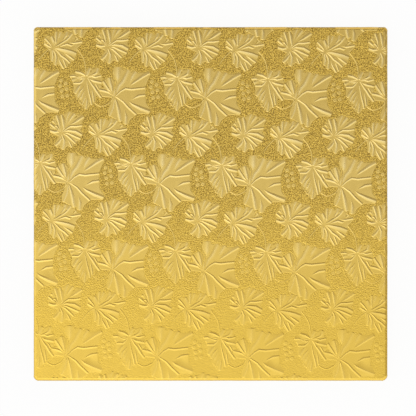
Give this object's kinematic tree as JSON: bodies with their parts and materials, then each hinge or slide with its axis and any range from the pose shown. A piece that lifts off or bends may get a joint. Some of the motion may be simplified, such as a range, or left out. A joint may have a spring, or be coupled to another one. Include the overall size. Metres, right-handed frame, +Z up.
{
  "type": "cake board",
  "caption": "Square rigid cake board with soft corners, wrapped in gold foil embossed with vine leaves, with a paper liner underneath.",
  "frame": {"origin": "centre of the underside, on the plane of the paper liner's rim", "axes": "+Z up through the board, +Y towards the picture's top edge, +X towards its right edge"},
  "size_m": [0.254, 0.254, 0.0132],
  "materials": {
    "fibreboard": "plain, matt",
    "gold_foil": "gold lacquered foil on paper, embossed, satin",
    "white_paper": "uncoated, matt"
  },
  "bodies": {
    "root": {"fibreboard_core": "fibreboard", "foil_wrap": "gold_foil", "base_liner": "white_paper"}
  },
  "joints": []
}
